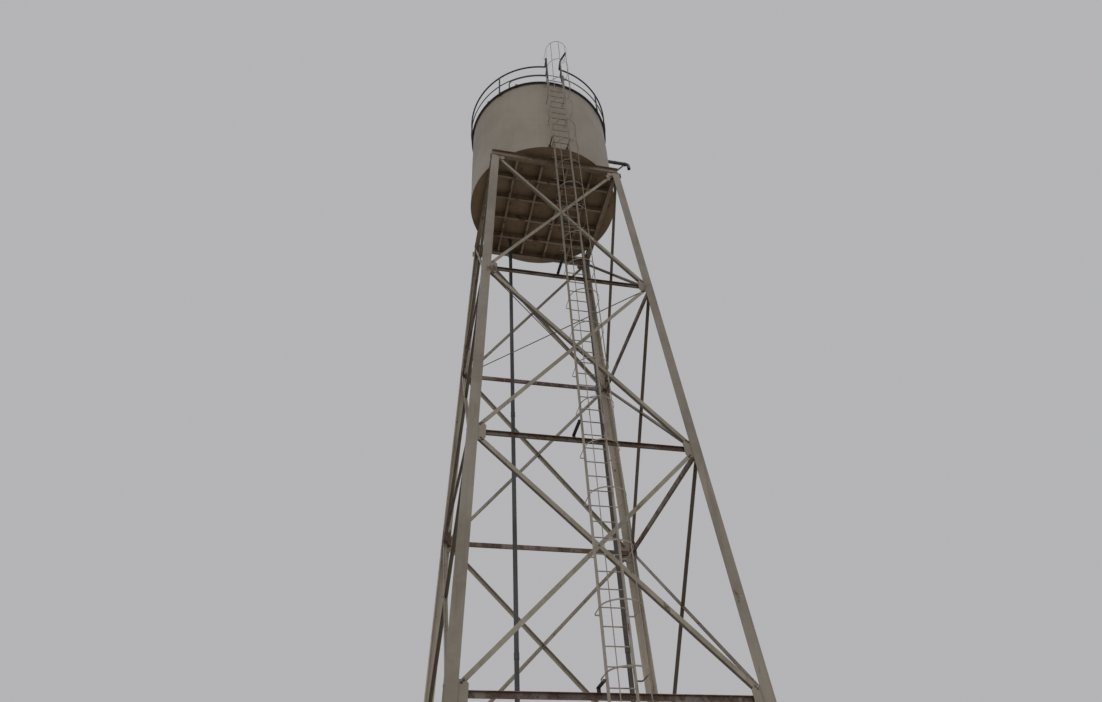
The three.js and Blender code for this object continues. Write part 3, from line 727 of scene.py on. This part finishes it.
# A rail's path: forward from the ladder's pipe, round a corner, then along the rim by equal turns
def railPath(radius, z, turns, startAt):
    x, y = startAt
    turnX = x + railing["endShift"]
    corner = np.array((turnX, -math.sqrt(radius ** 2 - turnX ** 2), z))
    end = np.array((x, y, z))
    arc = rimPoint(turns, radius, z)
    bend = softCorner(corner + railing["cornerReach"] * unit(end - corner), corner, arc[0])
    return np.concatenate([[end], bend, arc[1:]])


# Rails along their paths, plumb posts on flat plates, clips on the kerb, and a low pipe at the left
# that turns down to the tank's edge
def addRailing():
    radius, top = railing["radius"], tank["top"]
    leftLast, rightLast = railing["lastTurns"]
    gap = math.degrees(railing["cornerReach"] / radius)
    leftTurn = math.degrees(math.asin((railing["leftEnd"][0] + railing["endShift"]) / radius)) - gap
    rightTurn = math.degrees(math.asin((railing["rightEnd"][0] + railing["endShift"]) / radius)) + gap
    shapes = []
    for height, thick in ((railing["height"], railing["tube"]), (railing["kneeHeight"], railing["kneeTube"])):
        for end, start, last in (("leftEnd", leftTurn, leftLast), ("rightEnd", rightTurn, rightLast)):
            path = railPath(radius, top + height, np.linspace(start, last, 90), railing[end])
            shapes.append(tube(path, thick, (0, 0, 1)))
    addPiece("railing_rails", shapes, "dark", ["railing_left", "railing_right"])

    posts = []
    for degrees in railing["posts"]:
        path = rimPoint(degrees, radius, top + np.array([-railing["postFoot"], railing["height"]]))
        posts.append(tube(path, railing["postTube"], (1, 0, 0)))
        plate = rimPoint(degrees, radius - 0.004, top + np.array([-railing["postFoot"] + 0.01, 0.012]))
        posts.append(carry(plate, flat(*railing["plate"]), rimPoint(degrees + 90.0, 1.0, 0.0)))
    for degrees in railing["lugs"]:
        lug = rimPoint(degrees, radius - 0.022, top + np.array(railing["lugSpan"]))
        posts.append(carry(lug, flat(*railing["lug"]), rimPoint(degrees + 90.0, 1.0, 0.0)))
    addPiece("railing_posts", posts, "dark")

    z = top + railing["kneeHeight"] - railing["kneeTube"] - railing["lowPipeTube"]
    turns = np.linspace(leftTurn, railing["lowPipeTurn"], 24)
    level = railPath(radius, z, turns, railing["leftEnd"])
    foot = rimPoint(railing["lowPipeTurn"] - 3.2, radius - 0.03, top)
    corner = rimPoint(railing["lowPipeTurn"] - 3.0, radius - 0.01, z)
    bend = softCorner(level[-1], corner, corner + (foot - corner) * 0.4, 10)
    path = np.concatenate([level, bend[1:], [foot]])
    pipe = tube(path, railing["lowPipeTube"], (0.2, -0.3, 1.0))
    addPiece("low_pipe", [pipe], "galvanised")


addRailing()


print("stage 6: ladders and cage")

ladder = {
    "y": -2.48,
    "lean": 0.0243,
    "leanFrom": tank["bottom"] + 0.02,     # upright above this height
    "tube": 0.024,
    "upperTube": 0.029,
    "upperWall": 0.004,
    "rung": 0.010,
    "pitch": 0.30,
    "towerHalf": 0.218,
    "tankHalf": 0.25,
    "firstTankRung": tank["bottom"] + 0.10,
    "leftTop": tank["top"] + 0.94,
    "rightTop": tank["top"] + 0.02,
    "holdX": 0.2038,
    "holdFoot": tank["top"] - 0.30,
    "holdBend": tank["top"] + 0.922,
    "holdEnd": (0.116, -0.308, 0.019),     # from the bend
    "arm": 0.018,                          # radii of the stand-offs' bars
    "thinArm": 0.010,
    "armHeights": [0.06, 1.20, 2.35, 3.321],
    "webDepth": 0.068,                     # channel's web, in from the legs' outer face
    "bracketBar": (0.066, 0.010),
    "bracketRise": 0.13,
    "pad": (0.12, 0.07, 0.003),
    "padThick": 0.008,
    "padBolts": (-0.042, 0.042),
    "padBoltSize": 0.016,
    "beamWebY": -1.768,
    "footGap": 0.0006,
    "joinGap": 0.0003,                     # between the two ladders' pipes
}


# The ladders' line: upright beside the tank, and further out by the lean for each metre below it
def ladderY(z):
    return ladder["y"] - ladder["lean"] * np.maximum(0.0, ladder["leanFrom"] - np.asarray(z, float))


# One round bar across at each height
def rungShapes(heights, half):
    paths = [[(-half, ladderY(z), z), (half, ladderY(z), z)] for z in heights]
    return [tube(path, ladder["rung"], (0, 0, 1), sides=10) for path in paths]


# A stand-off: a round bar from the ladder's pipe back to toY, on the wall with a pad and two bolts
def standOff(x, z, toY, radius, pad=True):
    arm = tube([(x, ladderY(z), z), (x, toY, z)], radius, (0, 0, 1))
    if not pad:
        return [arm]
    face = toY - ladder["padThick"]
    plate = carry([(x, face, z), (x, toY, z)], flat(*ladder["pad"]), (0, 0, 1))
    places = [(x, face, z + rise) for rise in ladder["padBolts"]]
    return [arm, plate, hexHeads(places, (0, -1, 0), ladder["padBoltSize"])]


# A bracket beside the left pipe: a flat bar laid back over the horizontal, on an upright lug from the channel
def bracket(x, level):
    wide, thick = ladder["bracketBar"]
    place = x - wide / 2.0
    z, lugY = level + ladder["bracketRise"], -halfWidth(level) + ladder["webDepth"]
    bar = carry([(place, ladderY(z) - 0.02, z), (place, lugY + 0.03, z)], flat(wide, thick), (1, 0, 0))
    lug = carry([(place, lugY, level + 0.03), (place, lugY, z)], flat(wide - 0.006, thick + 0.004), (1, 0, 0))
    return [bar, lug]


# Two upright pipes with rungs at equal steps, a thicker pipe up from the left one, and the handhold,
# which rises beside the right one and bends out and forward at its top
def addTankLadder():
    y, half, start = ladder["y"], ladder["tankHalf"], ladder["leanFrom"] + ladder["joinGap"]
    shapes = [tube([(x, y, start), (x, y, high)], ladder["tube"], (1, 0, 0))
              for x, high in ((-half, tank["top"]), (half, ladder["rightTop"]))]
    shapes += rungShapes(np.arange(ladder["firstTankRung"], tank["top"] - 0.06, ladder["pitch"]), half)
    addPiece("tank_ladder_frame", shapes, "tankLadder", ["tank_ladder"])
    path = [(-half, y, ladder["holdFoot"]), (-half, y, ladder["leftTop"])]
    pipe = tube(path, ladder["upperTube"], (1, 0, 0), wall=ladder["upperWall"])
    addPiece("left_upper_pipe", [pipe], "dark")

    wallY = -math.sqrt(tank["radius"] ** 2 - half ** 2) - 0.001
    arms = []
    for place, rise in enumerate(ladder["armHeights"]):
        z, radius = tank["bottom"] + rise, ladder["thinArm"] if place else ladder["arm"]
        arms.append(standOff(-half, z, wallY, radius) + standOff(half, z, wallY, radius))
    # The lowest arms take the dark finish as painted shade
    addPiece("low_ladder_arms", arms[0], "dark")
    # The upper arms take the pale finish as painted light over their shaded undersides
    addPiece("tank_ladder_arms", sum(arms[1:], []), "paintedLight")

    x = ladder["holdX"]
    bend = np.array((x, y, ladder["holdBend"]))
    path = bentPath([(x, y, ladder["holdFoot"]), bend, bend + ladder["holdEnd"]], 0.10, 12)
    pipe = tube(path, ladder["upperTube"], (0.94, 0.35, 0.0), wall=ladder["upperWall"])
    addPiece("bent_handhold", [pipe], "dark", ["handhold"])


# Two leaning pipes with rungs, thin arms to the top beam, and a bracket over each front horizontal
def addTowerLadder():
    half, top = ladder["towerHalf"], ladder["leanFrom"]
    shapes = []
    for x in (-half, half):
        shapes.append(tube([(x, ladderY(z), z) for z in (ladder["footGap"], top)], ladder["tube"], (1, 0, 0)))
        shapes += standOff(x, tower["height"] + 0.12, ladder["beamWebY"], ladder["thinArm"], pad=False)
    shapes += rungShapes(np.arange(ladder["pitch"], top - 0.08, ladder["pitch"]), half)
    addPiece("tower_ladder_frame", shapes, "ladder", ["tower_ladder"])
    arms = [shape for level in tower["levels"][1:-1] for shape in bracket(-half, level)]
    # The brackets take the dark finish as painted shade of their undersides
    addPiece("tower_ladder_arms", arms, "dark")


cage = {
    "half": 0.322,
    "depth": 0.652,
    "hoopBar": (0.025, 0.005),
    "strapBar": (0.016, 0.005),
    "strapTurns": [0.0, 45.0, 90.0, 135.0, 180.0],
    "bottom": 2.01,
    "pitch": 0.965,
    "hoops": 19,
    "hoopsPerRun": 5,
    "tankPitch": 1.085,
    "tankHoops": 4,
    "topHoop": tank["top"] + 0.862,
    "cornerReach": 0.035,
    "rivet": 0.009,
}


# A hoop's path: out from the left pipe, forward, a half circle, back, and in to the right pipe
def hoopPath(z, leftPipe, rightPipe):
    y, half, reach = float(ladderY(z)), cage["half"], cage["cornerReach"]
    centre = y - cage["depth"] + half
    turn = np.linspace(np.pi, 2 * np.pi, 25)
    bow = np.stack([half * np.cos(turn), centre + half * np.sin(turn)], 1)
    left = softCorner((reach - half, y), (-half, y), (-half, y - reach), 6)
    path = np.concatenate([[(leftPipe, y)], left, bow, left[::-1] * (-1, 1), [(rightPipe, y)]])
    return atHeight(path, z)


# A run of the cage: a hoop at each height, straps inside them at equal turns, a rivet at each crossing
def cageRun(name, heights, strapLow, strapHigh, pipes, topRight=None, finish="cage", stands=()):
    shapes, places, normals = [], [], []
    strapTurns = np.radians(cage["strapTurns"])
    outward = np.stack([np.cos(strapTurns), -np.sin(strapTurns), 0 * strapTurns], 1)
    for z in heights:
        right = topRight if topRight and z == heights[-1] else pipes
        shapes.append(carry(hoopPath(z, -pipes, right), flat(*cage["hoopBar"]), (0, 0, 1)))
        centre = np.array((0.0, float(ladderY(z)) - cage["depth"] + cage["half"], z))
        places.append(centre + outward * (cage["half"] + cage["hoopBar"][1] / 2))
        normals.append(outward)
    reach = cage["half"] - cage["hoopBar"][1]
    for away, turn in zip(outward, strapTurns):
        path = [(away[0] * reach, float(ladderY(z)) - cage["depth"] + cage["half"] + away[1] * reach, z)
                for z in (strapLow, strapHigh)]
        shapes.append(carry(path, flat(*cage["strapBar"]), (math.sin(turn), math.cos(turn), 0)))
    shapes.append(hexHeads(np.concatenate(places), np.concatenate(normals), cage["rivet"], washer=False))
    addPiece(name, shapes, finish, stands)


# One run beside the tank and the rest down the tower, each up to just under the next one's first hoop
def addCage():
    edge = cage["hoopBar"][0] / 2
    tankHeights = cage["topHoop"] - cage["tankPitch"] * np.arange(cage["tankHoops"])[::-1]
    cageRun("cage_hoops_tank", tankHeights, ladder["leanFrom"], cage["topHoop"] + edge, ladder["tankHalf"],
            ladder["holdX"], "tankCage", ["cage_tank"])
    heights = cage["bottom"] + cage["pitch"] * np.arange(cage["hoops"])
    for start in range(0, cage["hoops"], cage["hoopsPerRun"]):
        own = heights[start:start + cage["hoopsPerRun"]]
        last = start + cage["hoopsPerRun"] >= cage["hoops"]
        high = ladder["leanFrom"] if last else own[-1] + cage["pitch"] - edge
        run = start // cage["hoopsPerRun"] + 1
        cageRun(f"cage_hoops_tower_{run}", own, own[0] - edge, high, ladder["towerHalf"],
                stands=[f"cage_tower_{run}"])


addTankLadder()
addTowerLadder()
addCage()


print("stage 7: pipes")

riser = {
    "places": {"supply": (-0.765, 1.366), "drain": (1.39, 0.80)},
    "finishes": {"supply": "greyPipe", "drain": "warmPipe"},
    "tube": 0.050,
    "socket": 0.056,
    "socketLength": 0.14,
    "socketHeights": [0.6, 6.6, 12.6, 18.6],
    "flange": 0.085,
    "flangeThick": 0.014,
    "flangeBolts": 6,
    "boltCircle": 0.82,                # of the flange's radius
    "boltSize": 0.017,
}


# A plumb length of pipe, socket or flange at a place, from low to high
def upright(place, low, high, radius, sides=24):
    return tube([(*place, low), (*place, high)], radius, (1, 0, 0), sides)


# Each riser: a plumb pipe from the ground to the tank's floor, sockets along it, a bolted flange on top
def addRisers():
    end = tank["bottom"]
    low = end - riser["flangeThick"]
    for name, place in riser["places"].items():
        shapes = [upright(place, 0.0, end, riser["tube"])]
        for z in riser["socketHeights"]:
            shapes.append(upright(place, z, z + riser["socketLength"], riser["socket"]))
        addPiece(f"{name}_riser", shapes, riser["finishes"][name], [f"{name}_pipe"])
        spots = circle(riser["flange"] * riser["boltCircle"], riser["flangeBolts"])
        bolts = hexHeads(atHeight(spots + place, low), (0, 0, -1), riser["boltSize"])
        flange = upright(place, low, end, riser["flange"])
        addPiece(f"{name}_flange", [flange, bolts], "underside")


overflow = {
    "z": tank["top"] - 0.393,
    "endX": 3.06,
    "mouth": tank["top"] - 0.633,
    "tube": 0.055,
    "wall": 0.005,
    "bend": 0.12,
    "collar": 0.078,
    "collarLength": 0.045,
    "socketRise": 0.006,
    "socketLength": 0.05,
    "strutTube": 0.024,
    "strutFromX": 2.912,
    "strutFoot": tank["top"] - 1.475,
    "saddle": (0.10, 0.012),
    "pad": (0.012, 0.12),
    "boltSize": 0.016,
}


# The elbow pipe: straight out of the wall, a rounded bend, and a short drop to an open mouth
def addOverflow():
    z, start, end, radius = overflow["z"], tank["radius"] - 0.02, overflow["endX"], overflow["tube"]
    path = bentPath([(start, 0, z), (end, 0, z), (end, 0, overflow["mouth"])], overflow["bend"], 14)

    def sleeve(x, length, radius):
        return tube([(x, 0, z), (x + length, 0, z)], radius, (0, 1, 0), 24)

    shapes = [tube(path, radius, (0, 1, 0), 24, wall=overflow["wall"]),
              sleeve(start, overflow["collarLength"], overflow["collar"])]
    for x in (end - overflow["bend"] - 0.035, start + 0.42):
        shapes.append(sleeve(x, overflow["socketLength"], radius + overflow["socketRise"]))
    addPiece("overflow_elbow", shapes, "galvanised", ["overflow_pipe"])

    foot, x, under = overflow["strutFoot"], overflow["strutFromX"], z - radius
    strut = tube([(start, 0, foot), (x, 0, under + 0.01)], overflow["strutTube"], (0, 1, 0))
    saddle = carry([(x - 0.05, 0, under), (x + 0.05, 0, under)], flat(*overflow["saddle"]), (0, 1, 0))
    padX, boltX = start + 0.018, start + 0.024
    pad = carry([(padX, 0, foot - 0.02), (padX, 0, foot + 0.14)], flat(*overflow["pad"]), (1, 0, 0))
    places = [(boltX, side * 0.042, foot + rise) for side in (-1, 1) for rise in (0.01, 0.11)]
    heads = hexHeads(places, (1, 0, 0), overflow["boltSize"])
    addPiece("overflow_strut", [strut, saddle, pad, heads], "dark")


addRisers()
addOverflow()


print("stage 8: bolts and welds")

bolting = {
    "braceBolts": (0.215, 0.262),      # from a brace's working point
    "braceSize": 0.024,
    "barOuter": 0.0263,                # outer face of a brace, in from the legs'
    "anchorSize": 0.036,
    "anchorReach": 0.17,               # from a base plate's middle
    "anchorStub": 0.045,
    "plateTop": 0.025,
    "anchorRod": 0.012,
    "capBolts": [(0.19, 0.045), (0.19, 0.10)],   # in from the leg's outer faces
    "capUnder": tower["height"] - 0.012,
    "weldRadius": 0.006,
    "weldReach": 0.19,                 # up and down from a level
    "weldIn": (0.2, 0.013),            # in from the corner, and from the outer face
}


# Bolts along each brace at set distances from its two working points, and one where the two bars cross
def addBraceBolts():
    spots, crossings = [], []
    for low, high in zip(tower["levels"][:-1], tower["levels"][1:]):
        lowHalf, highHalf = (halfWidth(z) - tower["workLine"] for z in (low, high))
        start, end = np.array((lowHalf, low)), np.array((-highHalf, high))
        ahead = unit(end - start)
        for reach in bolting["braceBolts"]:
            spots += [start + ahead * reach, end - ahead * reach]
        spots += [(-x, z) for x, z in spots[-4:]]
        crossings.append(low + (high - low) * lowHalf / (lowHalf + highHalf))
    x, z = np.array(spots).T
    out = np.array([(x, y, tower["batter"]) for x, y in ((0.0, -1.0), (1.0, 0.0), (0.0, 1.0), (-1.0, 0.0))])
    size = bolting["braceSize"]
    ends, middles = np.repeat(out, len(x), 0), np.repeat(out, len(crossings), 0)
    shapes = [hexHeads(sidePoints(x, tower["plateDepth"] - 0.001, z), ends, size),
              hexHeads(sidePoints(x, tower["braceDepth"], z), -ends, size),
              hexHeads(sidePoints(0.0, bolting["barOuter"], crossings), middles, size),
              hexHeads(sidePoints(0.0, tower["braceDepth"], crossings), -middles, size)]
    addPiece("brace_bolts", shapes, "bolt")


# Four anchor rods with nuts on each base plate, and bolt heads under each leg's cap
def addFootBolts():
    centre = halfWidth(0.0) - 0.1
    reach, top = bolting["anchorReach"], bolting["plateTop"]
    signs = np.array([(-1, -1), (1, -1), (1, 1), (-1, 1)])
    spots = (signs[:, None] * centre + signs[None] * reach).reshape(-1, 2)
    shapes = [hexHeads(atHeight(spots, top), (0, 0, 1), bolting["anchorSize"])]
    for x, y in spots:
        rod = [(x, y, top), (x, y, top + bolting["anchorStub"])]
        shapes.append(tube(rod, bolting["anchorRod"], (1, 0, 0), 12))
    under = (signs[:, None] * (tower["topHalf"] - np.array(bolting["capBolts"]))).reshape(-1, 2)
    shapes.append(hexHeads(atHeight(under, bolting["capUnder"]), (0, 0, -1), bolting["braceSize"]))
    addPiece("foot_and_cap_bolts", shapes, "bolt")


# Weld beads up the edge of each leg's flange where a gusset leaves it, on both flanges of the four legs
def addGussetWelds():
    inset, depth = bolting["weldIn"]
    shapes = []
    for level in tower["levels"]:
        low = max(level - bolting["weldReach"], 0.03)
        high = min(level + bolting["weldReach"], tower["height"] - 0.015)
        ends = [sidePoints(way * (halfWidth(z) - inset), depth, z) for way in (-1, 1) for z in (low, high)]
        for start, end in (ends[:2], ends[2:]):
            shapes += [tube([a, b], bolting["weldRadius"], (0.7, 0.7, 0.0), 8) for a, b in zip(start, end)]
    addPiece("gusset_welds", shapes, "leg")


addBraceBolts()
addFootBolts()
addGussetWelds()


print("stage 9: floor")


# A pale round floor that fades out towards its rim
def addFloor():
    turn = np.linspace(0.0, 2.0 * np.pi, 97)[:-1]
    radius = studio["floorRadius"]
    rim = np.stack([axisX + radius * np.cos(turn), axisY + radius * np.sin(turn), np.zeros_like(turn)], 1)
    mesh = bpy.data.meshes.new("floor")
    mesh.from_pydata(rim.tolist(), [], [list(range(len(rim)))])
    floor = bpy.data.objects.new("floor", mesh)
    bpy.context.scene.collection.objects.link(floor)
    steps = Recipe("pale floor")
    patches = steps.rise(steps.noise(0.8, 4, 0.5), 0.3, 0.7, 0.3)
    tone = steps.mix(patches, studio["floor"], studio["floorShade"])
    steps.done(tone, 0.9)
    away = steps.node("VectorMath")
    away.operation = "LENGTH"
    steps.link(steps.place, away.inputs[0])
    clear = steps.node("BsdfTransparent")
    blend = steps.node("MixShader")
    edge = steps.rise(away.outputs["Value"], radius - studio["floorFade"], radius - 0.3)
    steps.link(edge, blend.inputs[0])
    steps.link(steps.surface.outputs[0], blend.inputs[1])
    steps.link(clear.outputs[0], blend.inputs[2])
    steps.link(blend.outputs[0], steps.out.inputs["Surface"])
    mesh.materials.append(steps.material)


addFloor()
